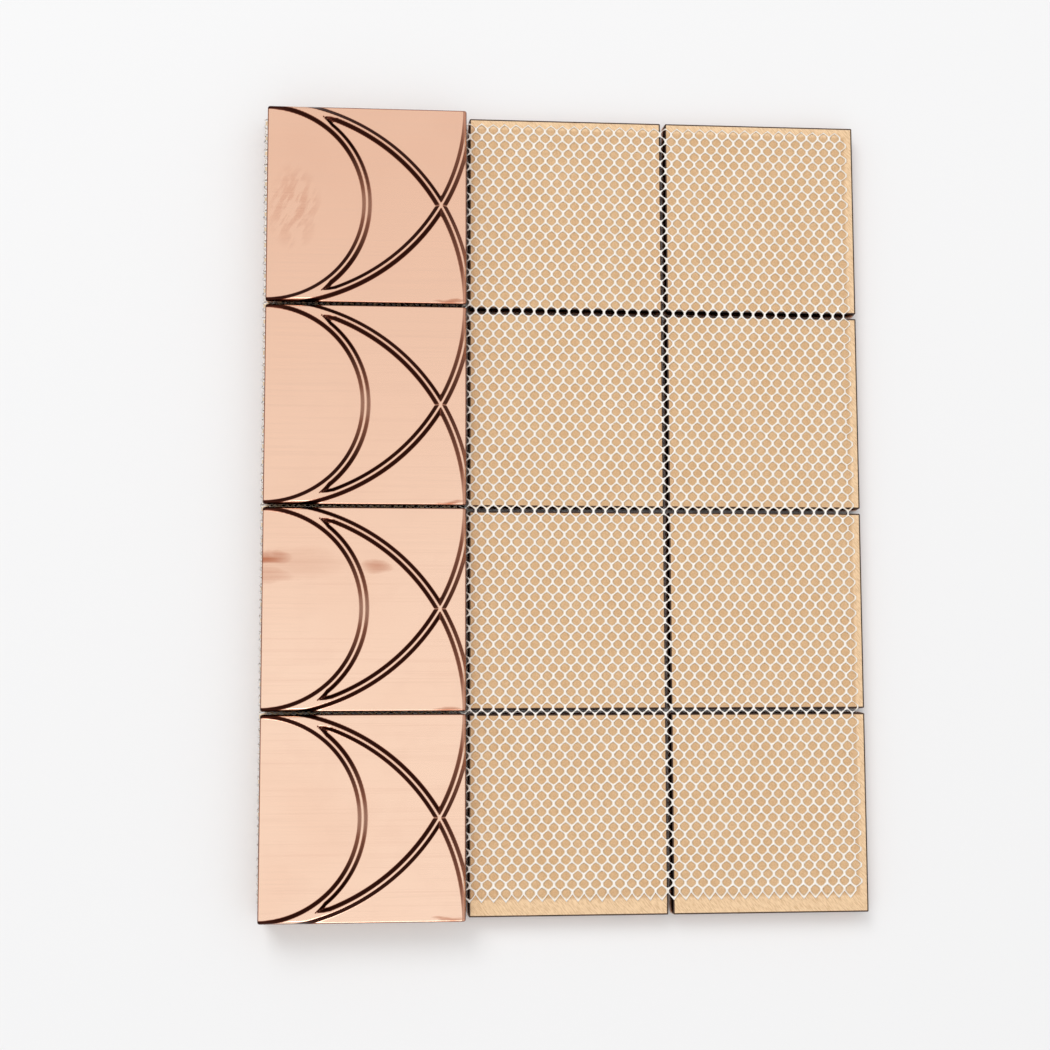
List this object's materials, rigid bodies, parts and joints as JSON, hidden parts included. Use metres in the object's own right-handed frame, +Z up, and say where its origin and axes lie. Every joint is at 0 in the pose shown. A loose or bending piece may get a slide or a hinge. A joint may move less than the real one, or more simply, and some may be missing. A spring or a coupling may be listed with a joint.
{
  "type": "mosaic tile sheet",
  "caption": "Mosaic sheet of square stamped steel tiles with embossed crossing arcs, on a net backing, one column folded face up over the backs.",
  "frame": {"origin": "under the middle of the folded sheet, on the surface it lies on", "axes": "+Y along the fold, +X from the fold towards the sheet's far edge, +Z up; the open columns lie face down and the folded column face up"},
  "size_m": [0.224, 0.299, 0.0173],
  "materials": {
    "steel": "satin rose-gold coating with a fine brushed grain",
    "core": "matt unglazed beige",
    "net": "white knotted net"
  },
  "bodies": {
    "open_columns": {"steel_caps_column2": "steel", "cores_column2": "core", "net_column2": "net", "steel_caps_column3": "steel", "cores_column3": "core", "net_column3": "net", "steel_caps_column4": "steel", "cores_column4": "core", "net_column4": "net"},
    "folded_column": {"steel_caps_column1": "steel", "cores_column1": "core", "net_column1": "net"}
  },
  "joints": [
    {"name": "net_fold", "type": "hinge", "parent": "open_columns", "child": "folded_column", "pos_m": [-0.1125, 0, 0.00865], "axis": [0, -1, 0], "range_deg": [0, 180]}
  ]
}
